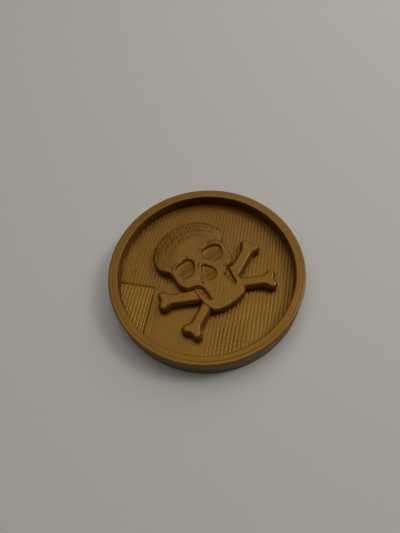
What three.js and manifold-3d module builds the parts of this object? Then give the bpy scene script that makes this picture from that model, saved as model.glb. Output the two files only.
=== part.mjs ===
// Pirate coin: a printed game token with a raised rim around a sunken field, and a skull and
// crossbones standing on that field in relief. Millimetres, +Z up. The origin is the centre of the
// underside, and +Y points to the crown of the skull.
import * as THREE from "three";
import { mergeVertices } from "three/addons/utils/BufferGeometryUtils.js";
import Module from "manifold-3d";

// Coin body
const COIN_DIAMETER = 45;
const COIN_THICKNESS = 6;
const FIELD_HEIGHT = 3;
const RIM_WIDTH = 2.2;
const FOOT_ROUND = 0.35;
const RIM_ROUND = 0.3;
const COIN_SEGMENTS = 120;
const COIN_ROUND_STEPS = 2;

// Heights of the relief above the field
const SKULL_RISE = 2.6;
const BROW_RISE = 2.75;
const JAW_RISE = 2.6;
const BONE_RISE = 2.4;
const SOCKET_FLOOR = 2.4;
const NOSE_FLOOR = 2.4;
const SLOT_FLOOR = 1.9;

// Rounds along the upper edges of the relief
const SKULL_ROUND = 0.6;
const BROW_ROUND = 0.35;
const JAW_ROUND = 0.35;
const BONE_ROUND = 0.85;
const ROUND_SEGMENTS = 4;

// Skull outline, right half, seen from above
const CROWN_Y = 14;
const CRANIUM_HALF_WIDTH = 9.05;
const CRANIUM_WIDEST_Y = 7.2;
const TEMPLE_HALF_WIDTH = 7.25;
const TEMPLE_Y = 2.8;
const CHEEK_HALF_WIDTH = 7.3;
const CHEEK_Y = 0.9;
const CHEEK_FOOT_X = 5;
const CHEEK_FOOT_Y = -2.3;
const UPPER_JAW_HALF_WIDTH = 3.25;
const UPPER_JAW_ROOT_Y = -4.2;
const BITE_Y = -7.1;

// The crown and the face each fall away from a low dome
const DOME_RISE = 2.85;
const DOME_HALF_WIDTH = 14;
const CROWN_DOME_Y = 3.2;
const CROWN_DOME_HALF_LENGTH = 13.9;
const FACE_DOME_Y = -2;
const FACE_DOME_HALF_LENGTH = 15;
const DOME_SEGMENTS = 64;

// Eye sockets and nose
const SOCKET_INNER_X = 1.4;
const SOCKET_OUTER_X = 6.15;
const SOCKET_TOP_Y = 4.65;
const SOCKET_BOTTOM_Y = 0.35;
const SOCKET_INNER_Y = 3.5;
const SOCKET_OUTER_Y = 3;
const SOCKET_TOP_X = 3;
const SOCKET_BOTTOM_X = 4.2;
const NOSE_TOP_Y = 1.2;
const NOSE_BOTTOM_Y = -3.1;
const NOSE_HALF_WIDTH = 1.7;
const NOSE_WIDEST_Y = -1.7;
const NOSE_BRIDGE_HALF_WIDTH = 0.5;
const HOLLOW_ROUND = 0.4;
const HOLLOW_TILT = 12;

// Brow over each socket, which rises from the face by a share of its height
const BROW_WIDTH = 0.8;
const BROW_FOOT_Y = 2.4;
const BROW_SHARE = 1.05;

// Lower jaw: a chin with a thin branch each side of the upper jaw
const CHIN_Y = -10.5;
const JAW_HALF_WIDTH = 5.25;
const JAW_CORNER_Y = -6.4;
const JAW_ANGLE_X = 4.5;
const JAW_ANGLE_Y = -9.2;
const CHIN_HALF_WIDTH = 3.5;
const BRANCH_TOP_WIDTH = 0.85;
const BRANCH_FOOT_WIDTH = 1.5;
const BRANCH_FOOT_Y = -6.2;

// Crossbones: where each tip lies, the way it points, and its shape
const UPPER_BONE_TIP = { x: 13.15, y: -0.2 };
const LOWER_BONE_TIP = { x: 11.85, y: -11.05 };
const UPPER_BONE_TURN = 27;
const LOWER_BONE_TURN = -27;
const UPPER_SHAFT_WIDTH = 3.05;
const LOWER_SHAFT_WIDTH = 2.75;
const BONE_LENGTH = 11;
const KNOB_RADIUS = 1.15;
const KNOB_SPREAD = 1.3;
const KNOB_NOTCH = 0.4;
const KNOB_FLARE_ANGLE = 60;
const KNOB_NOTCH_ANGLE = 40;
const FLARE_LENGTH = 3.4;
const FLARE_EASE = 0.7;

// Gap between pieces that stand side by side without meeting on a flat face
const CLEARANCE = 0.3;

const CURVE_STEPS = 9;
const SAME_POINT = 1e-4;
const BLOCK_SIZE = 60;
const COLOURS = { body: 0x8a6428, relief: 0x94702f };
const ROUGHNESS = 0.5;

const wasm = await Module();
wasm.setup();

// Closed solid of a three.js geometry
function solidOf(geometry) {
  geometry.deleteAttribute("normal");
  geometry.deleteAttribute("uv");
  const merged = mergeVertices(geometry, SAME_POINT);
  const vertProperties = Float32Array.from(merged.attributes.position.array);
  const triVerts = Uint32Array.from(merged.index.array);
  return new wasm.Manifold(new wasm.Mesh({ numProp: 3, vertProperties, triVerts }));
}

// Three.js geometry of a closed solid
function geometryOf(solid) {
  const { vertProperties, triVerts } = solid.getMesh();
  const geometry = new THREE.BufferGeometry();
  geometry.setAttribute("position", new THREE.BufferAttribute(vertProperties, 3));
  geometry.setIndex(new THREE.BufferAttribute(triVerts, 1));
  geometry.computeVertexNormals();
  return geometry;
}

function namedMesh(name, geometry, colour) {
  const material = new THREE.MeshStandardMaterial({ color: colour, roughness: ROUGHNESS, metalness: 0 });
  const mesh = new THREE.Mesh(geometry, material);
  mesh.name = name;
  return mesh;
}

// Block with one face through a point, lying on the far side of that face from the direction given
function halfSpace(x, y, turn) {
  const block = new THREE.BoxGeometry(BLOCK_SIZE, BLOCK_SIZE, BLOCK_SIZE);
  block.translate(-BLOCK_SIZE / 2, 0, 0);
  block.rotateZ(turn);
  block.translate(x, y, 0);
  return solidOf(block);
}

// Everything under the field
function underField() {
  const block = new THREE.BoxGeometry(BLOCK_SIZE, BLOCK_SIZE, BLOCK_SIZE);
  block.translate(0, 0, -BLOCK_SIZE / 2);
  return solidOf(block);
}

// Raised piece with an outline, upright sides and a rounded upper edge; grow moves the outline outwards
function raisedPiece(shape, rise, round, grow = 0) {
  const geometry = new THREE.ExtrudeGeometry(shape, {
    depth: rise,
    curveSegments: CURVE_STEPS,
    bevelThickness: round,
    bevelSize: round,
    bevelOffset: grow - round,
    bevelSegments: ROUND_SEGMENTS,
  });
  geometry.translate(0, 0, -round);
  return solidOf(geometry).subtract(underField());
}

// Hollow to cut out of a raised piece, whose floor sinks from a height at its lower end to the upper end
function hollow(shape, floor, lowerEnd) {
  const geometry = new THREE.ExtrudeGeometry(shape, {
    depth: COIN_THICKNESS,
    curveSegments: CURVE_STEPS,
    bevelThickness: HOLLOW_ROUND,
    bevelSize: HOLLOW_ROUND,
    bevelOffset: -HOLLOW_ROUND,
    bevelSegments: ROUND_SEGMENTS,
  });
  geometry.translate(0, -lowerEnd, HOLLOW_ROUND);
  geometry.rotateX(THREE.MathUtils.degToRad(-HOLLOW_TILT));
  geometry.translate(0, lowerEnd, floor);
  return solidOf(geometry);
}

// Closed shape through points, without any that repeats the one before it
function closedShape(points) {
  const kept = points.filter((point, index) => point.distanceTo(points.at(index - 1)) > SAME_POINT);
  return new THREE.Shape(kept);
}

// Shape that is the same on both sides of x = 0, from its right half
function symmetricShape(rightHalf) {
  const right = rightHalf.getPoints(CURVE_STEPS);
  const left = right.map((point) => new THREE.Vector2(-point.x, point.y)).reverse();
  return closedShape([...right, ...left]);
}

function mirrored(solid) {
  return solid.mirror([1, 0, 0]);
}

// Base disc with a rounded foot
function baseDisc() {
  const radius = COIN_DIAMETER / 2;
  const profile = new THREE.Path();
  profile.moveTo(0, 0);
  profile.lineTo(radius - FOOT_ROUND, 0);
  profile.absarc(radius - FOOT_ROUND, FOOT_ROUND, FOOT_ROUND, -Math.PI / 2, 0);
  profile.lineTo(radius, FIELD_HEIGHT);
  profile.lineTo(0, FIELD_HEIGHT);
  const geometry = new THREE.LatheGeometry(profile.getPoints(COIN_ROUND_STEPS), COIN_SEGMENTS);
  geometry.rotateX(Math.PI / 2);
  return geometryOf(solidOf(geometry));
}

// Rim that stands on the edge of the disc, with both upper edges rounded
function rimRing() {
  const outer = COIN_DIAMETER / 2;
  const inner = outer - RIM_WIDTH;
  const shoulder = COIN_THICKNESS - RIM_ROUND;
  const profile = new THREE.Path();
  profile.moveTo(inner, FIELD_HEIGHT);
  profile.lineTo(outer, FIELD_HEIGHT);
  profile.lineTo(outer, shoulder);
  profile.absarc(outer - RIM_ROUND, shoulder, RIM_ROUND, 0, Math.PI / 2);
  profile.absarc(inner + RIM_ROUND, shoulder, RIM_ROUND, Math.PI / 2, Math.PI);
  profile.lineTo(inner, FIELD_HEIGHT);
  const geometry = new THREE.LatheGeometry(profile.getPoints(COIN_ROUND_STEPS), COIN_SEGMENTS);
  geometry.rotateX(Math.PI / 2);
  return geometryOf(solidOf(geometry));
}

// Egg-shaped outline drawn as four quarter ellipses between its outermost points
function socketShape() {
  const outline = new THREE.Path();
  const quarter = Math.PI / 2;
  const quarters = [
    [SOCKET_TOP_X, SOCKET_OUTER_Y, SOCKET_OUTER_X - SOCKET_TOP_X, SOCKET_TOP_Y - SOCKET_OUTER_Y],
    [SOCKET_TOP_X, SOCKET_INNER_Y, SOCKET_TOP_X - SOCKET_INNER_X, SOCKET_TOP_Y - SOCKET_INNER_Y],
    [SOCKET_BOTTOM_X, SOCKET_INNER_Y, SOCKET_BOTTOM_X - SOCKET_INNER_X, SOCKET_INNER_Y - SOCKET_BOTTOM_Y],
    [SOCKET_BOTTOM_X, SOCKET_OUTER_Y, SOCKET_OUTER_X - SOCKET_BOTTOM_X, SOCKET_OUTER_Y - SOCKET_BOTTOM_Y],
  ];
  quarters.forEach(([x, y, halfWidth, halfHeight], index) => {
    outline.absellipse(x, y, halfWidth, halfHeight, index * quarter, (index + 1) * quarter);
  });
  return closedShape(outline.getPoints(CURVE_STEPS));
}

// Pear-shaped opening, narrow at the bridge
function noseShape() {
  const half = new THREE.Path();
  const taper = (NOSE_TOP_Y - NOSE_WIDEST_Y) / 2;
  half.moveTo(0, NOSE_TOP_Y);
  half.bezierCurveTo(
    NOSE_BRIDGE_HALF_WIDTH, NOSE_TOP_Y,
    NOSE_HALF_WIDTH, NOSE_WIDEST_Y + taper,
    NOSE_HALF_WIDTH, NOSE_WIDEST_Y,
  );
  half.absellipse(0, NOSE_WIDEST_Y, NOSE_HALF_WIDTH, NOSE_WIDEST_Y - NOSE_BOTTOM_Y, 0, -Math.PI / 2, true);
  return symmetricShape(half);
}

// Cranium, temples, cheekbones and upper jaw in one line, carried past the bite to be cut there
function skullShape() {
  const half = new THREE.Path();
  const temple = (CRANIUM_WIDEST_Y - TEMPLE_Y) / 2;
  const hollowDepth = (TEMPLE_Y - CHEEK_Y) / 2;
  const cheek = (CHEEK_Y - CHEEK_FOOT_Y) / 2;
  const root = (CHEEK_FOOT_Y - UPPER_JAW_ROOT_Y) / 2;
  half.moveTo(0, CROWN_Y);
  half.absellipse(0, CRANIUM_WIDEST_Y, CRANIUM_HALF_WIDTH, CROWN_Y - CRANIUM_WIDEST_Y, Math.PI / 2, 0, true);
  half.bezierCurveTo(
    CRANIUM_HALF_WIDTH, CRANIUM_WIDEST_Y - temple,
    TEMPLE_HALF_WIDTH, TEMPLE_Y + temple,
    TEMPLE_HALF_WIDTH, TEMPLE_Y,
  );
  half.bezierCurveTo(
    TEMPLE_HALF_WIDTH, TEMPLE_Y - hollowDepth,
    CHEEK_HALF_WIDTH, CHEEK_Y + hollowDepth,
    CHEEK_HALF_WIDTH, CHEEK_Y,
  );
  half.bezierCurveTo(
    CHEEK_HALF_WIDTH, CHEEK_Y - cheek,
    CHEEK_FOOT_X + cheek, CHEEK_FOOT_Y,
    CHEEK_FOOT_X, CHEEK_FOOT_Y,
  );
  half.bezierCurveTo(
    CHEEK_FOOT_X - root, CHEEK_FOOT_Y,
    UPPER_JAW_HALF_WIDTH, UPPER_JAW_ROOT_Y + root,
    UPPER_JAW_HALF_WIDTH, UPPER_JAW_ROOT_Y,
  );
  half.lineTo(UPPER_JAW_HALF_WIDTH, BITE_Y - SKULL_ROUND);
  half.lineTo(0, BITE_Y - SKULL_ROUND);
  return symmetricShape(half);
}

// Low dome of a given height
function dome(centreY, halfLength, rise) {
  const geometry = new THREE.SphereGeometry(1, DOME_SEGMENTS, DOME_SEGMENTS / 2);
  geometry.rotateX(Math.PI / 2);
  geometry.scale(DOME_HALF_WIDTH, halfLength, rise);
  geometry.translate(0, centreY, 0);
  return solidOf(geometry);
}

// The two domes that the top of the skull follows
function skullTop(rise) {
  const crown = dome(CROWN_DOME_Y, CROWN_DOME_HALF_LENGTH, rise);
  const face = dome(FACE_DOME_Y, FACE_DOME_HALF_LENGTH, rise);
  return crown.add(face);
}

// Brow: a raised band round the upper half of a socket
function brow(socket) {
  return raisedPiece(socket, BROW_RISE, BROW_ROUND, BROW_WIDTH)
    .intersect(skullTop(BROW_SHARE * DOME_RISE))
    .subtract(halfSpace(0, BROW_FOOT_Y, Math.PI / 2));
}

// Skull: domed outline, a brow over each socket, and the hollows of the sockets and nose
function skull() {
  const socket = socketShape();
  const rightBrow = brow(socket);
  const socketHollow = hollow(socket, SOCKET_FLOOR, SOCKET_BOTTOM_Y);
  const solid = raisedPiece(skullShape(), SKULL_RISE, SKULL_ROUND)
    .intersect(skullTop(DOME_RISE))
    .add(rightBrow)
    .add(mirrored(rightBrow))
    .subtract(socketHollow)
    .subtract(mirrored(socketHollow))
    .subtract(hollow(noseShape(), NOSE_FLOOR, NOSE_BOTTOM_Y))
    .subtract(halfSpace(0, BITE_Y, Math.PI / 2));
  return geometryOf(solid);
}

// Lower jaw outline, carried past the bite and cut there, so that it meets the upper jaw on a flat face
function jawShape() {
  const half = new THREE.Path();
  const branchTop = CHEEK_FOOT_Y - CLEARANCE;
  const footInner = JAW_HALF_WIDTH - BRANCH_FOOT_WIDTH;
  half.moveTo(0, BITE_Y + JAW_ROUND);
  half.lineTo(UPPER_JAW_HALF_WIDTH + CLEARANCE, BITE_Y + JAW_ROUND);
  half.quadraticCurveTo(footInner, (BRANCH_FOOT_Y + BITE_Y) / 2, footInner, BRANCH_FOOT_Y);
  half.lineTo(JAW_HALF_WIDTH - BRANCH_TOP_WIDTH, branchTop);
  half.lineTo(JAW_HALF_WIDTH, branchTop);
  half.lineTo(JAW_HALF_WIDTH, JAW_CORNER_Y);
  half.lineTo(JAW_ANGLE_X, JAW_ANGLE_Y);
  half.quadraticCurveTo(CHIN_HALF_WIDTH, CHIN_Y, 0, CHIN_Y);
  return symmetricShape(half);
}

// Floor of the slot between the upper jaw and the right branch
function slotFloor() {
  const width = JAW_HALF_WIDTH - BRANCH_TOP_WIDTH / 2 - UPPER_JAW_HALF_WIDTH;
  const length = UPPER_JAW_ROOT_Y - BITE_Y;
  const floor = new THREE.BoxGeometry(width, length, SLOT_FLOOR);
  floor.translate(UPPER_JAW_HALF_WIDTH + width / 2, BITE_Y + length / 2, SLOT_FLOOR / 2);
  return solidOf(floor);
}

function jaw() {
  const upperJaw = new THREE.BoxGeometry(2 * UPPER_JAW_HALF_WIDTH, BLOCK_SIZE, BLOCK_SIZE);
  upperJaw.translate(0, BITE_Y + BLOCK_SIZE / 2, 0);
  const floor = slotFloor();
  const solid = raisedPiece(jawShape(), JAW_RISE, JAW_ROUND)
    .subtract(solidOf(upperJaw))
    .add(floor)
    .add(mirrored(floor));
  return geometryOf(solid);
}

// One bone lying along X with its knobbed tip at the origin
function boneShape(shaftWidth) {
  const half = shaftWidth / 2;
  const knobX = -KNOB_RADIUS;
  const meet = THREE.MathUtils.degToRad(KNOB_FLARE_ANGLE);
  const lip = THREE.MathUtils.degToRad(KNOB_NOTCH_ANGLE);
  const meetX = knobX - KNOB_RADIUS * Math.cos(meet);
  const meetY = KNOB_SPREAD + KNOB_RADIUS * Math.sin(meet);
  const lipX = knobX + KNOB_RADIUS * Math.cos(lip);
  const lipY = KNOB_SPREAD - KNOB_RADIUS * Math.sin(lip);
  const notchPull = -2 * KNOB_NOTCH - lipX;
  const easeX = FLARE_EASE - FLARE_LENGTH;
  const leanX = meetX - FLARE_EASE * Math.sin(meet);
  const leanY = meetY - FLARE_EASE * Math.cos(meet);
  const outline = new THREE.Path();
  outline.moveTo(-BONE_LENGTH, -half);
  outline.lineTo(-FLARE_LENGTH, -half);
  outline.bezierCurveTo(easeX, -half, leanX, -leanY, meetX, -meetY);
  outline.absarc(knobX, -KNOB_SPREAD, KNOB_RADIUS, Math.PI + meet, 2 * Math.PI + lip);
  outline.quadraticCurveTo(notchPull, 0, lipX, lipY);
  outline.absarc(knobX, KNOB_SPREAD, KNOB_RADIUS, -lip, Math.PI - meet);
  outline.bezierCurveTo(leanX, leanY, easeX, half, -FLARE_LENGTH, half);
  outline.lineTo(-BONE_LENGTH, half);
  return closedShape(outline.getPoints(CURVE_STEPS));
}

// Bone put in its place on the right-hand side
function placedBone(shaftWidth, tip, turn) {
  const geometry = geometryOf(raisedPiece(boneShape(shaftWidth), BONE_RISE, BONE_ROUND));
  geometry.rotateZ(THREE.MathUtils.degToRad(turn));
  geometry.translate(tip.x, tip.y, 0);
  return solidOf(geometry);
}

// Upper bone, clear of the cheekbone and ending flat against the branch of the jaw
function upperBone() {
  const cheek = raisedPiece(skullShape(), COIN_THICKNESS, SKULL_ROUND, CLEARANCE);
  return placedBone(UPPER_SHAFT_WIDTH, UPPER_BONE_TIP, UPPER_BONE_TURN)
    .subtract(cheek)
    .subtract(halfSpace(JAW_HALF_WIDTH, 0, 0));
}

// Lower bone, ending flat against the slanting corner of the jaw
function lowerBone() {
  const slant = Math.atan2(JAW_ANGLE_X - JAW_HALF_WIDTH, JAW_CORNER_Y - JAW_ANGLE_Y);
  return placedBone(LOWER_SHAFT_WIDTH, LOWER_BONE_TIP, LOWER_BONE_TURN)
    .subtract(halfSpace(JAW_HALF_WIDTH, JAW_CORNER_Y, slant));
}

const relief = new THREE.Group();
relief.position.z = FIELD_HEIGHT;
const upper = upperBone();
const lower = lowerBone();
relief.add(
  namedMesh("skull", skull(), COLOURS.relief),
  namedMesh("jaw", jaw(), COLOURS.relief),
  namedMesh("bone_upper_right", geometryOf(upper), COLOURS.relief),
  namedMesh("bone_upper_left", geometryOf(mirrored(upper)), COLOURS.relief),
  namedMesh("bone_lower_right", geometryOf(lower), COLOURS.relief),
  namedMesh("bone_lower_left", geometryOf(mirrored(lower)), COLOURS.relief),
);

const coin = new THREE.Group();
coin.add(
  namedMesh("base_disc", baseDisc(), COLOURS.body),
  namedMesh("rim_ring", rimRing(), COLOURS.body),
  relief,
);

export default coin;
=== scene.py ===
import math

import bmesh
import bpy
from mathutils import Matrix, Vector, noise
from mathutils.bvhtree import BVHTree


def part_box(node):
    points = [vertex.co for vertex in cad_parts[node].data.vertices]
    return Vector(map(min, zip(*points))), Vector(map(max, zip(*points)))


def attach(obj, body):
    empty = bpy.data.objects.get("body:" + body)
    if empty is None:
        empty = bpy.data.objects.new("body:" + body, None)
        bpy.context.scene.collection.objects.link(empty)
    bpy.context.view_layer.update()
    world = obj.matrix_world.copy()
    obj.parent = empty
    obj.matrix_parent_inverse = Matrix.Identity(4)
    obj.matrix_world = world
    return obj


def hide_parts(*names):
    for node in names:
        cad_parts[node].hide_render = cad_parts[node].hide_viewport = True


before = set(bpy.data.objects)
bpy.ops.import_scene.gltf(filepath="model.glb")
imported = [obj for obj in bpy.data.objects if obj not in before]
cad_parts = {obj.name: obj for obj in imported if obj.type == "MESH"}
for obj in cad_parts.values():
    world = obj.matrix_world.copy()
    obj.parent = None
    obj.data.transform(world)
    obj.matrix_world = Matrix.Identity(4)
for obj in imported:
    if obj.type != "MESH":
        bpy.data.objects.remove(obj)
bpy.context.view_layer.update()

# View
# A phone held a hand's breadth above the table looks down on the coin from below the chin,
# with the skull leaning to the left and the picture turned a little.
photo_height = 533
photo_focal_px = 400
film_width = 36
nearest_seen = 0.005
view_elevation = math.radians(61.47)
coin_lean = math.radians(27)
view_roll = math.radians(-7.92)
view_distance = 0.0984
view_aim = Vector((0.00067, 0.00396, 0))

forward = Vector((
    math.cos(view_elevation) * math.sin(coin_lean),
    math.cos(view_elevation) * math.cos(coin_lean),
    -math.sin(view_elevation),
))
level_right = Vector((math.cos(coin_lean), -math.sin(coin_lean), 0))
level_up = level_right.cross(forward)
right = math.cos(view_roll) * level_right + math.sin(view_roll) * level_up
up = math.cos(view_roll) * level_up - math.sin(view_roll) * level_right
camera_data = bpy.data.cameras.new("photo_camera")
camera_data.sensor_width = film_width
camera_data.lens = photo_focal_px / photo_height * film_width
camera_data.clip_start = nearest_seen
camera = bpy.data.objects.new("photo_camera", camera_data)
camera.matrix_world = Matrix.Translation(view_aim - view_distance * forward) @ Matrix((
    right, up, -forward,
)).transposed().to_4x4()
bpy.context.scene.collection.objects.link(camera)
bpy.context.scene.camera = camera

# Filament
# The whole coin is printed from one bronze-brown plastic with a satin sheen. It has faint cloudy
# tones from the melt, and fine specks that break up the shine along each line of plastic.
mm = 0.001
filament_colour = (0.097, 0.041, 0.0048, 1)
filament_shade = (0.081, 0.0333, 0.0035, 1)
filament_glow = (1, 0.58, 0.14, 1)
filament_shine = 0.52
smoothest = 0.23
roughest = 0.37
cloud_scale = 0.28 / mm
cloud_detail = 4
cloud_shade_at = 0.3
cloud_colour_at = 0.7
speck_scale = 5 / mm
speck_detail = 3
speck_strength = 0.12
speck_depth = 0.02 * mm


def filament_material(name):
    """Satin plastic with cloudy tones, and specks in its roughness and its surface."""
    material = bpy.data.materials.new(name)
    material.use_nodes = True
    nodes = material.node_tree.nodes
    links = material.node_tree.links
    shader = nodes["Principled BSDF"]
    shader.inputs["Specular IOR Level"].default_value = filament_shine
    shader.inputs["Specular Tint"].default_value = filament_glow
    place = nodes.new("ShaderNodeTexCoord")
    cloud = nodes.new("ShaderNodeTexNoise")
    cloud.inputs["Scale"].default_value = cloud_scale
    cloud.inputs["Detail"].default_value = cloud_detail
    tone = nodes.new("ShaderNodeValToRGB")
    tone.color_ramp.elements[0].position = cloud_shade_at
    tone.color_ramp.elements[0].color = filament_shade
    tone.color_ramp.elements[1].position = cloud_colour_at
    tone.color_ramp.elements[1].color = filament_colour
    specks = nodes.new("ShaderNodeTexNoise")
    specks.inputs["Scale"].default_value = speck_scale
    specks.inputs["Detail"].default_value = speck_detail
    sheen = nodes.new("ShaderNodeMapRange")
    sheen.inputs["To Min"].default_value = smoothest
    sheen.inputs["To Max"].default_value = roughest
    bump = nodes.new("ShaderNodeBump")
    bump.inputs["Strength"].default_value = speck_strength
    bump.inputs["Distance"].default_value = speck_depth
    links.new(place.outputs["Object"], cloud.inputs["Vector"])
    links.new(place.outputs["Object"], specks.inputs["Vector"])
    links.new(cloud.outputs["Fac"], tone.inputs["Fac"])
    links.new(tone.outputs["Color"], shader.inputs["Base Color"])
    links.new(specks.outputs["Fac"], sheen.inputs["Value"])
    links.new(sheen.outputs["Result"], shader.inputs["Roughness"])
    links.new(specks.outputs["Fac"], bump.inputs["Height"])
    links.new(bump.outputs["Normal"], shader.inputs["Normal"])
    return material


filament = filament_material("bronze_filament")

# Base disc
# The first half of the print: fifteen layers of plastic, rounded at the foot where they met the
# print bed. The top layer is the sunken field, laid as slanting lines of plastic side by side.
layer_height = 0.2
layer_swell = 0.02
swell_start = 0.3
swell_end = 0.7
bead_width = 0.4117
bead_slack = 1e-4
steps_per_bead = 4
turn_steps = 256
merge_reach = 1e-4
crease_angle = math.radians(40)
base_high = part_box("base_disc")[1]
coin_radius = base_high.x / mm
field_height = base_high.z / mm
foot_round = 0.35
field_rows = 230
field_margin = 1
field_slab_bottom = -1

# Uneven flow round the walls
wander_amount = 0.03
wander_path = 4
wander_layer_gap = 7.3
layer_slack = 0.01

# Joints and ridges between the lines of the field, and the dashes that break them up
shallow_joint = 0.35
joint_sharpness = 3
crest_place = 0.3
dash_pitch = 0.9
dash_shift = 5
dash_stretch = 3
dash_seed = 4
uneven_scale = 0.3

# The ribbed patch on the left and the border round it, which is dotted at the patch's end
patch_across = -11.2
patch_along = -5.4
patch_sink = 0.02
patch_ridge = 0.11
patch_ridge_dashes = 0.05
border_width = 0.16
border_side_sink = 0.14
border_end_sink = 0.32
border_dots = 0.4

# The calm stretch on the lower left, with one faint seam beside the patch
calm_across = 2.8
calm_top = 3
calm_sink = 0.014
calm_uneven = 0.008
seam_gap = 1.6
seam_sink = 0.03

# The coarse rest: deeper joints beyond the crown, bright dashes below the chin, dots on the upper left
coarse_sink = 0.045
coarse_uneven = 0.025
coarse_ridge = 0.025
upper_sink = 0.03
upper_lean = 0.3
upper_start = 9
upper_blend = 1.5
glint_centre = (-4.8, -15.8)
glint_spread = (14, 9)
glint_share = 1.7
glint_smoothing = 0.04
glint_ridge = 0.05
glint_ridge_dashes = 0.15
dotted_centre = (-13.4, 10.5)
dotted_spread = (2.5, 1.6)
dotted_sink = 0.2


def layer_wall(radius_at, bottom, top, outward):
    """Corners of a printed wall, from bottom to top: it swells a little within each layer."""
    points = []
    count = round((top - bottom) / layer_height)
    for index in range(count):
        low = bottom + index * layer_height
        for share, swell in ((0, 0), (swell_start, layer_swell), (swell_end, layer_swell)):
            height = low + share * layer_height
            points.append((radius_at(height) + outward * swell, height))
    points.append((radius_at(top), top))
    return points


def spun(points, closed):
    """Mesh that a row of corners sweeps out in one turn about the coin's axis."""
    work = bmesh.new()
    corners = [work.verts.new((radius, 0, height)) for radius, height in points]
    edges = [work.edges.new(pair) for pair in zip(corners, corners[1:])]
    if closed:
        edges.append(work.edges.new((corners[-1], corners[0])))
    bmesh.ops.spin(
        work, geom=corners + edges, cent=(0, 0, 0), axis=(0, 0, 1),
        angle=2 * math.pi, steps=turn_steps, use_merge=True, use_duplicate=False,
    )
    bmesh.ops.remove_doubles(work, verts=work.verts, dist=merge_reach)
    return work


def wander(work):
    """Uneven flow: each layer of a wall lies a hair further in or out as it goes round."""
    for corner in work.verts:
        layer = math.floor(corner.co.z / layer_height + layer_slack)
        angle = math.atan2(corner.co.y, corner.co.x)
        spot = Vector((
            wander_path * math.cos(angle),
            wander_path * math.sin(angle),
            wander_layer_gap * layer,
        ))
        corner.co.xy *= 1 + wander_amount * noise.noise(spot) / corner.co.xy.length


def line_place(spot):
    """Distance across the slanting lines, and distance along them."""
    return (spot.x - spot.y) / math.sqrt(2), (spot.x + spot.y) / math.sqrt(2)


def line_grid(centre, half_size, rows):
    """Flat grid turned so that its columns follow the slanting lines, some columns to each line."""
    work = bmesh.new()
    count = 2 * math.ceil(half_size / bead_width)
    bmesh.ops.create_grid(
        work, x_segments=count * steps_per_bead, y_segments=rows, size=count * bead_width / 2,
    )
    shift = [round(part / bead_width) * bead_width for part in line_place(centre)]
    bmesh.ops.translate(work, verts=work.verts, vec=(shift[0], shift[1], 0))
    slanting = Matrix.Rotation(-math.pi / 4, 3, "Z")
    bmesh.ops.rotate(work, verts=work.verts, cent=(0, 0, 0), matrix=slanting)
    return work


def line_sink(across, deep, ridge):
    """How far a layer's top lies under its crests, at a distance across lines laid in pairs."""
    place = across / bead_width
    bead = math.floor(place + bead_slack)
    share = place - bead
    joint = bead if share < 0.5 else bead + 1
    depth = deep if joint % 2 else shallow_joint * deep
    pair = (place + 1) / 2 % 1
    if pair > crest_place:
        slant = (pair - crest_place) / (1 - crest_place)
    else:
        slant = 1 - pair / crest_place
    return depth * abs(2 * share - 1) ** joint_sharpness + ridge * slant ** 2


def near_line(value, middle, width):
    """Share that is 1 on a line and dies away within about a width of it."""
    return math.exp(-((value - middle) / width) ** 2)


def near_spot(spot, centre, spread):
    """Share that is 1 at a spot, seen from above, and dies away round it."""
    return math.exp(-((spot.x - centre[0]) ** 2 / spread[0] + (spot.y - centre[1]) ** 2 / spread[1]))


def deepened(work, bottom):
    """Slab from a surface down to a flat bottom."""
    under = bmesh.ops.extrude_face_region(work, geom=work.faces[:])
    for item in under["geom"]:
        if isinstance(item, bmesh.types.BMVert):
            item.co.z = bottom
    bmesh.ops.recalc_face_normals(work, faces=work.faces)
    return work


def work_object(work):
    """Object for a bmesh that only takes part in cutting."""
    mesh = bpy.data.meshes.new("work")
    work.to_mesh(mesh)
    work.free()
    made = bpy.data.objects.new("work", mesh)
    bpy.context.scene.collection.objects.link(made)
    return made


def common_part(first, second):
    """What two closed meshes have in common."""
    source = work_object(first)
    tool = work_object(second)
    cut = source.modifiers.new("common", "BOOLEAN")
    cut.operation = "INTERSECT"
    cut.solver = "MANIFOLD"
    cut.object = tool
    bpy.context.view_layer.update()
    done = source.evaluated_get(bpy.context.evaluated_depsgraph_get())
    work = bmesh.new()
    work.from_mesh(done.to_mesh())
    done.to_mesh_clear()
    for helper in (source, tool):
        bpy.data.objects.remove(helper)
    return work


def printed_piece(name, work, node):
    """Finished piece from a bmesh in millimetres."""
    for face in work.faces:
        face.smooth = True
    for edge in work.edges:
        edge.smooth = edge.calc_face_angle(0) < crease_angle
    bmesh.ops.scale(work, verts=work.verts, vec=(mm, mm, mm))
    mesh = bpy.data.meshes.new(name)
    work.to_mesh(mesh)
    work.free()
    mesh.materials.append(filament)
    piece = bpy.data.objects.new(name, mesh)
    bpy.context.scene.collection.objects.link(piece)
    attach(piece, "root")
    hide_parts(node)


def base_radius(height):
    """Radius of the edge at a height: it is rounded at the foot."""
    rise = min(height, foot_round)
    return coin_radius - foot_round + math.sqrt(foot_round ** 2 - (foot_round - rise) ** 2)


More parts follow.
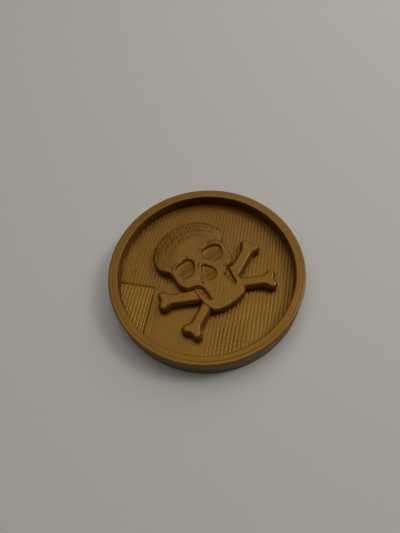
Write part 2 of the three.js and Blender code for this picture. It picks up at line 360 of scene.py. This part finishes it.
def field_sink(spot):
    """How far the field lies under its full height, in the patch, the calm stretch or the rest."""
    across, along = line_place(spot)
    uneven = noise.noise(Vector((spot.x * uneven_scale, spot.y * uneven_scale, 0)))
    shift = dash_shift * noise.noise(Vector((across, along / dash_stretch, dash_seed)))
    broken = 0.5 + 0.5 * math.sin(2 * math.pi * along / dash_pitch + shift)
    patch_side = near_line(across, patch_across, border_width) if along < patch_along else 0
    patch_end = near_line(along, patch_along, border_width) if across < patch_across else 0
    dots = 1 - border_dots + border_dots * math.cos(math.pi * across / bead_width)
    border = border_side_sink * patch_side + border_end_sink * patch_end * dots
    if across < patch_across and along < patch_along:
        return border + line_sink(across, patch_sink, patch_ridge + patch_ridge_dashes * broken)
    if patch_across <= across < calm_across and spot.y < calm_top:
        seam = seam_sink * near_line(across - patch_across, seam_gap, border_width)
        return border + seam + line_sink(across, calm_sink + calm_uneven * uneven, 0)
    upper = 1 / (1 + math.exp(-(spot.y + upper_lean * spot.x - upper_start) / upper_blend))
    glint = min(1, glint_share * near_spot(spot, glint_centre, glint_spread))
    dotted = near_spot(spot, dotted_centre, dotted_spread)
    depth = coarse_sink + upper_sink * upper + coarse_uneven * uneven - glint_smoothing * glint
    depth += dotted_sink * dotted * broken
    ridge = coarse_ridge * (1 - upper) * (1 - glint)
    ridge += glint * (glint_ridge + glint_ridge_dashes * broken)
    return border + line_sink(across, depth, ridge)


base_work = spun(layer_wall(base_radius, 0, field_height + layer_height, 1), closed=False)
bmesh.ops.holes_fill(base_work, edges=base_work.edges, sides=0)
bmesh.ops.recalc_face_normals(base_work, faces=base_work.faces)
wander(base_work)
field_work = line_grid(Vector((0, 0, 0)), coin_radius + field_margin, field_rows)
for corner in field_work.verts:
    corner.co.z = field_height - field_sink(corner.co)
field_slab = deepened(field_work, field_slab_bottom)
printed_piece("printed_base", common_part(base_work, field_slab), "base_disc")

# Rim
# The edge goes on up for fifteen more layers as a ring about five lines of plastic wide, each line
# running round the coin, with a clear joint between the outer two lines and the rest.
rim_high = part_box("rim_ring")[1]
rim_top = rim_high.z / mm
rim_width = 2.2
rim_inner = coin_radius - rim_width
rim_round = 0.3
rim_shoulder = rim_top - 2 * layer_height
rim_lines = 5
rim_groove = 0.02
rim_joint = 0.045
rim_joint_line = 2
round_steps = 4


def rim_edge(wall_radius, inward, steps):
    """Corners of a rounded upper edge, between one wall of the rim and its top."""
    points = []
    for step in steps:
        turn = math.pi / 2 * step / round_steps
        radius = wall_radius + inward * rim_round * (1 - math.cos(turn))
        points.append((radius, rim_top - rim_round * (1 - math.sin(turn))))
    return points


rim_points = layer_wall(lambda height: coin_radius, field_height, rim_shoulder, 1)
rim_points += rim_edge(coin_radius, -1, range(round_steps))
line_width = (rim_width - 2 * rim_round) / rim_lines
for line in range(rim_lines):
    outer = coin_radius - rim_round - line * line_width
    if line:
        rim_points.append((outer, rim_top - (rim_joint if line == rim_joint_line else rim_groove)))
    rim_points.append((outer - swell_start * line_width, rim_top))
    rim_points.append((outer - swell_end * line_width, rim_top))
rim_points += rim_edge(rim_inner, 1, range(round_steps, -1, -1))
rim_points += layer_wall(lambda height: rim_inner, field_height - layer_height, rim_shoulder, -1)[::-1]
rim_work = spun(rim_points, closed=True)
bmesh.ops.recalc_face_normals(rim_work, faces=rim_work.faces)
wander(rim_work)
printed_piece("printed_rim", rim_work, "rim_ring")

# Skull
# The cranium, brows, cheekbones and upper jaw, built up in layers on the field. The nozzle leaves the
# edges soft, the layers show as steps where the crown falls away, and the top is laid in slanting lines.
levels_per_layer = 3
cut_reach = 1e-6
outline_merge = 0.02
crown_start = 7
crown_full = 10
crown_bulge = 0.05
slab_depth = 1
softening = 4
smooth_factor = 0.5

# Sockets and nose, which the nozzle left shallower, most of all at their lower ends
face_half_width = 6.5
face_bottom = -3.5
face_top = 5
hollow_brink = 2.4
hollow_fill = 0.5
socket_bottom = 0.3
nose_half_width = 1.3
socket_lower_end = (2.6, 0.7)
nose_lower_end = (-1.2, -2.8)

# Walls of the hollows, and strips above the brows, that came out softer: ends, half width, turns
soft_strips = (
    ((2.6, 0.7), (5.2, 0.6), 1.1, 40),
    ((-2.6, 0.7), (-5.2, 0.6), 1.1, 40),
    ((-0.8, -2.9), (0.8, -2.9), 1.1, 40),
    ((-0.6, 0.9), (-1.9, -2.2), 0.7, 25),
    ((1.5, 3.4), (2.8, 0.9), 0.7, 25),
    ((-5.9, 3.2), (-5, 0.9), 0.8, 25),
    ((-6.3, 5.6), (-1.6, 5.8), 0.95, 80),
    ((1.6, 5.8), (6.3, 5.6), 0.95, 80),
    ((-6.8, 2.6), (-6.7, 4.8), 0.5, 50),
    ((0.9, 3.2), (1.1, 4.9), 0.5, 50),
    ((-0.9, 3.2), (-1.1, 4.9), 0.5, 50),
)

# Thin ridges of plastic beside the nose, down the right cheek and round the right brow: ends
ridge_height = 0.2
ridge_width = 0.32
face_ridges = (
    ((-0.5, 1.7), (-2.3, -2.6)),
    ((4.4, -2), (3, -3.8)),
    ((3, -3.8), (2.95, -6.4)),
    ((4.6, 5.2), (6.4, 4.6)),
    ((6.4, 4.6), (7, 3.4)),
)

# Layer steps where the top slopes, broken into dashes on the crown
step_share = 0.3
step_slope_start = (0.06, 0.14)
step_slope_end = (0.8, 0.5)
crown_dash = 0.38
dash_share = 0.6
bead_end_share = 0.5
patchy_scale = (0.9, 0.35)
patchy_seed = 2

# Lines on the top, deeper on the jaws, and fine ones across the floors of the sockets
relief_line = 0.03
plain_share = 0.7
jaws_share = 1.5
jaws_fade = (-2, -4)
jaws_plain = 0.6
jaws_patchy = 1.2
jaws_bite = 1.4
bite_centre = (0, -6)
bite_spread = (4, 6.25)
strand_wave = 0.3
strand_fade = (-1, -3)
strand_scale = (0.5, 0.6)
strand_seed = 5
hollow_line = 0.012
floor_bottom = 0.5
floor_top = 4.5
floor_low = 1.4
floor_high = 2.3

# Edges rounded off all round, most widely and gently on the right of the cranium
edge_line = 0.5
edge_reach = 1.2
edge_share = 0.6
edge_inside = 0.7
right_drop = 0.3
right_fade = (3, 7)
cranium_fade = (2, 4)

# Grain all over, and blobs of plastic beside the right cheek
grain_height = 0.018
grain_scale = 2.6
grain_seed = 1
blob_height = 0.12
blob_centre = (3.9, -1.3)
blob_spread = (1.4, 1.4)


def upright_block(form):
    """Block with a form's outline where it stands on the field, swelling within each layer."""
    work = form.copy()
    bmesh.ops.bisect_plane(
        work, geom=work.verts[:] + work.edges[:] + work.faces[:], dist=cut_reach,
        plane_co=(0, 0, field_height + layer_height / 2), plane_no=(0, 0, 1),
        clear_inner=True, clear_outer=True,
    )
    bmesh.ops.remove_doubles(work, verts=work.verts, dist=outline_merge)
    bmesh.ops.triangle_fill(work, edges=work.edges, use_beauty=True, normal=(0, 0, 1))
    level = layer_height / levels_per_layer
    levels = round((rim_top - field_height) / level) + 1
    for corner in work.verts:
        corner.co.z = field_height - level
    grown = bmesh.ops.extrude_face_region(work, geom=work.faces[:])
    top = [item for item in grown["geom"] if isinstance(item, bmesh.types.BMVert)]
    bmesh.ops.translate(work, verts=top, vec=(0, 0, levels * level))
    bmesh.ops.recalc_face_normals(work, faces=work.faces)
    rising = [edge for edge in work.edges if abs(edge.verts[0].co.z - edge.verts[1].co.z) > level]
    bmesh.ops.subdivide_edges(work, edges=rising, cuts=levels - 1)
    work.normal_update()
    for corner in work.verts:
        if round((corner.co.z - field_height) / level) % levels_per_layer:
            corner.co += layer_swell * Vector((corner.normal.x, corner.normal.y, 0)).normalized()
    return work


def stretch_crown(form):
    """The print bulges a little beyond the drawn crown."""
    for corner in form.verts:
        corner.co.y += crown_bulge * max(0, corner.co.y - crown_start)


relief_form = bmesh.new()
relief_nodes = (
    "skull", "jaw", "bone_upper_right", "bone_upper_left", "bone_lower_right", "bone_lower_left",
)
for node in relief_nodes:
    relief_form.from_mesh(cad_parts[node].data)
bmesh.ops.scale(relief_form, verts=relief_form.verts, vec=(1 / mm, 1 / mm, 1 / mm))
stretch_crown(relief_form)
relief_tree = BVHTree.FromBMesh(relief_form)
relief_form.free()


def beside(corner):
    """Corners that share an edge with a corner."""
    return [edge.other_vert(corner) for edge in corner.link_edges]


def fades(value, low, high):
    """Share that climbs from 0 at one value to 1 at another."""
    return min(1, max(0, (value - low) / (high - low)))


def line_distance(spot, first, last):
    """Distance from a straight line between two points, seen from above."""
    run_x = last[0] - first[0]
    run_y = last[1] - first[1]
    along = (spot.x - first[0]) * run_x + (spot.y - first[1]) * run_y
    share = min(1, max(0, along / (run_x ** 2 + run_y ** 2)))
    return math.hypot(spot.x - first[0] - share * run_x, spot.y - first[1] - share * run_y)


def drop_on_relief(work):
    """Drops a grid onto the relief, and gives each corner's distance in from the outline."""
    high_above = Vector((0, 0, 2 * rim_top))
    for corner in work.verts:
        hit = relief_tree.ray_cast(corner.co + high_above, Vector((0, 0, -1)))[0]
        corner.tag = hit is not None
        corner.co.z = hit.z if corner.tag else 0
    work.verts.index_update()
    edge_distance = [edge_reach] * len(work.verts)
    front = [
        corner for corner in work.verts
        if corner.tag and not all(near.tag for near in beside(corner))
    ]
    spacing = bead_width / steps_per_bead
    distance = spacing / 2
    while distance < edge_reach:
        for corner in front:
            edge_distance[corner.index] = distance
        distance += spacing
        front = {
            near for corner in front for near in beside(corner)
            if near.tag and edge_distance[near.index] == edge_reach
        }
    for ring in range(2 * steps_per_bead):
        next_ring = []
        for corner in work.verts:
            known = [] if corner.tag else [near.co.z for near in beside(corner) if near.tag]
            if known:
                corner.co.z = sum(known) / len(known)
                next_ring.append(corner)
        for corner in next_ring:
            corner.tag = True
            edge_distance[corner.index] = 0
    for corner in work.verts:
        if not corner.tag:
            corner.co.z = field_height + layer_height
    return edge_distance


def smooth_heights(work, corners, turns):
    """Evens out the heights of some corners."""
    for turn in range(turns):
        bmesh.ops.smooth_vert(work, verts=corners, factor=smooth_factor, use_axis_z=True)


def soften(work, strips, ridges):
    """Softens the top as the nozzle does, fills the hollows a little and adds the thin ridges."""
    smooth_heights(work, work.verts, softening)
    for corner in work.verts:
        spot = corner.co
        if abs(spot.x) < face_half_width and face_bottom < spot.y < face_top:
            sunk = max(0, hollow_brink - (spot.z - field_height))
            in_socket = spot.y > socket_bottom and abs(spot.x) > nose_half_width
            lower_end = socket_lower_end if in_socket else nose_lower_end
            fill = hollow_fill + (1 - hollow_fill) * fades(spot.y, *lower_end)
            corner.co.z += fill * sunk
    for first, last, half_width, turns in strips:
        strip = [corner for corner in work.verts if line_distance(corner.co, first, last) < half_width]
        smooth_heights(work, strip, turns)
    for first, last in ridges:
        for corner in work.verts:
            distance = line_distance(corner.co, first, last)
            corner.co.z += ridge_height * near_line(distance, 0, ridge_width)


def lay_lines(work, edge_distance):
    """Lays the lines of plastic into the top, with layer steps, rounded edges, grain and blobs."""
    work.normal_update()
    for corner in work.verts:
        spot = corner.co
        gap = edge_distance[corner.index]
        across, along = line_place(spot)
        rise = spot.z - field_height
        level = rise / layer_height
        on_crown = fades(spot.y, crown_start, crown_full)
        on_cranium = fades(spot.y, *cranium_fade)

        slope = math.sqrt(max(0, 1 - corner.normal.z ** 2))
        stepped = fades(slope, *step_slope_start) * fades(slope, *step_slope_end)
        steps = -step_share * stepped * layer_height / (2 * math.pi) * math.sin(2 * math.pi * level)

        patchy = noise.noise(Vector((patchy_scale[0] * across, patchy_scale[1] * along, patchy_seed)))
        row = 0.5 - 0.5 * math.cos(2 * math.pi * level)
        bead_end = on_crown * fades(gap, edge_line, 0)
        dash = max(stepped * row * (dash_share + patchy), bead_end_share * bead_end)
        on_bite = near_spot(spot, bite_centre, bite_spread)
        on_jaws = fades(spot.y, *jaws_fade) * (jaws_plain + jaws_patchy * patchy + jaws_bite * on_bite)
        depth = relief_line * (plain_share + jaws_share * on_jaws) + crown_dash * on_crown * dash
        strand = noise.noise(Vector((strand_scale[0] * across, strand_scale[1] * along, strand_seed)))
        wave = strand_wave * fades(spot.y, *strand_fade) * strand
        on_floor = floor_bottom < spot.y < floor_top and floor_low < rise < floor_high
        if on_floor and abs(spot.x) < face_half_width:
            line = hollow_line * abs(math.sin(math.pi * along / bead_width))
        else:
            line = line_sink(across + wave, depth, 0)
        inside = max(on_crown, fades(gap, edge_inside * edge_line, edge_line))

        right_side = on_cranium * fades(spot.x, *right_fade)
        edge_round = edge_line + (edge_reach - edge_line) * right_side
        edge_drop = edge_line + (right_drop - edge_line) * right_side
        fall = max(0, edge_round - gap)
        round_off = max(edge_share, on_cranium) * edge_drop * (fall / edge_round) ** 2

        blobs = blob_height * near_spot(spot, blob_centre, blob_spread)
        rough = noise.noise(Vector((grain_scale * spot.x, grain_scale * spot.y, grain_seed)))
        grain = (grain_height + blobs) * rough
        corner.co.z += steps + grain - round_off - line * inside * corner.normal.z


def printed_top(low, high, strips, ridges):
    """Slab whose top follows the upper side of the relief, as the nozzle leaves it."""
    reach = ((high.x - low.x) + (high.y - low.y)) / (2 * math.sqrt(2)) + 2 * bead_width
    work = line_grid((low + high) / 2, reach, 2 * math.ceil(reach / bead_width) * steps_per_bead)
    edge_distance = drop_on_relief(work)
    soften(work, strips, ridges)
    lay_lines(work, edge_distance)
    return deepened(work, field_height - slab_depth)


def printed_relief(node, strips=(), ridges=()):
    """One piece of the relief, as a bmesh in millimetres."""
    form = bmesh.new()
    form.from_mesh(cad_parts[node].data)
    bmesh.ops.scale(form, verts=form.verts, vec=(1 / mm, 1 / mm, 1 / mm))
    bmesh.ops.remove_doubles(form, verts=form.verts, dist=merge_reach)
    stretch_crown(form)
    block = upright_block(form)
    form.free()
    low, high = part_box(node)
    return common_part(block, printed_top(low / mm, high / mm, strips, ridges))


printed_piece("printed_skull", printed_relief("skull", soft_strips, face_ridges), "skull")

# Jaw
# The chin and a thin branch up each side of the upper jaw, which it joins along the bite, with a web of
# plastic low down in the slot beside each branch. It is laid in the same layers and lines as the skull.
web_rise = 1.7
web_centre = (4, -3.4)
web_size = (1.6, 2)
jaw_work = printed_relief("jaw")
for side in (-1, 1):
    web = bmesh.ops.create_cube(jaw_work, size=1)["verts"]
    web_place = (side * web_centre[0], web_centre[1], field_height + web_rise / 2)
    bmesh.ops.scale(jaw_work, verts=web, vec=(*web_size, web_rise))
    bmesh.ops.translate(jaw_work, verts=web, vec=web_place)
printed_piece("printed_jaw", jaw_work, "jaw")

# Crossbones
# Four knobbed bone ends that come out from behind the jaw, a layer lower than the skull, with well
# rounded upper edges. They are printed on the field in the same layers and lines.
for bone in ("bone_upper_right", "bone_upper_left", "bone_lower_right", "bone_lower_left"):
    printed_piece("printed_" + bone, printed_relief(bone), bone)

# Table
# The coin lies loose on a plain pale matt table top, one flat sheet that runs well out of the
# picture on every side.
table_half = 1.2
table_colour = (0.355, 0.329, 0.298, 1)
table_roughness = 0.75
table_work = bmesh.new()
bmesh.ops.create_grid(table_work, x_segments=1, y_segments=1, size=table_half)
table_mesh = bpy.data.meshes.new("table")
table_work.to_mesh(table_mesh)
table_work.free()
table_material = bpy.data.materials.new("pale_table")
table_material.use_nodes = True
table_shader = table_material.node_tree.nodes["Principled BSDF"]
table_shader.inputs["Base Color"].default_value = table_colour
table_shader.inputs["Roughness"].default_value = table_roughness
table_mesh.materials.append(table_material)
table = bpy.data.objects.new("table", table_mesh)
bpy.context.scene.collection.objects.link(table)

# Light
# A broad soft light stands on the right of the skull with a small lamp beside it, a weaker soft light
# hangs high beyond the crown on the left, and a faint even glow fills the shade.
light_distance = 0.65
fill_colour = (1, 1, 1, 1)
fill_strength = 0.03


def soft_light(name, azimuth, elevation, spread, level):
    """Round soft light, a set distance away, that lights a level surface to a share of full white."""
    radius = light_distance * math.tan(spread)
    radiance = level / (math.sin(spread) ** 2 * math.sin(elevation))
    data = bpy.data.lights.new(name, "AREA")
    data.shape = "DISK"
    data.size = 2 * radius
    data.energy = radiance * math.pi * math.pi * radius ** 2
    light = bpy.data.objects.new(name, data)
    way = Vector((
        math.cos(elevation) * math.cos(azimuth),
        math.cos(elevation) * math.sin(azimuth),
        math.sin(elevation),
    ))
    light.location = way * light_distance
    light.rotation_mode = "QUATERNION"
    light.rotation_quaternion = way.to_track_quat("Z", "Y")
    bpy.context.scene.collection.objects.link(light)


soft_light("key", math.radians(15), math.radians(51), math.radians(35), level=0.44)
soft_light("lamp", math.radians(-18), math.radians(48), math.radians(8), level=0.21)
soft_light("high", math.radians(120), math.radians(73), math.radians(25), level=0.27)
world = bpy.data.worlds.new("fill")
world.use_nodes = True
world.node_tree.nodes["Background"].inputs["Color"].default_value = fill_colour
world.node_tree.nodes["Background"].inputs["Strength"].default_value = fill_strength
bpy.context.scene.world = world
bpy.context.scene.view_settings.view_transform = "Standard"
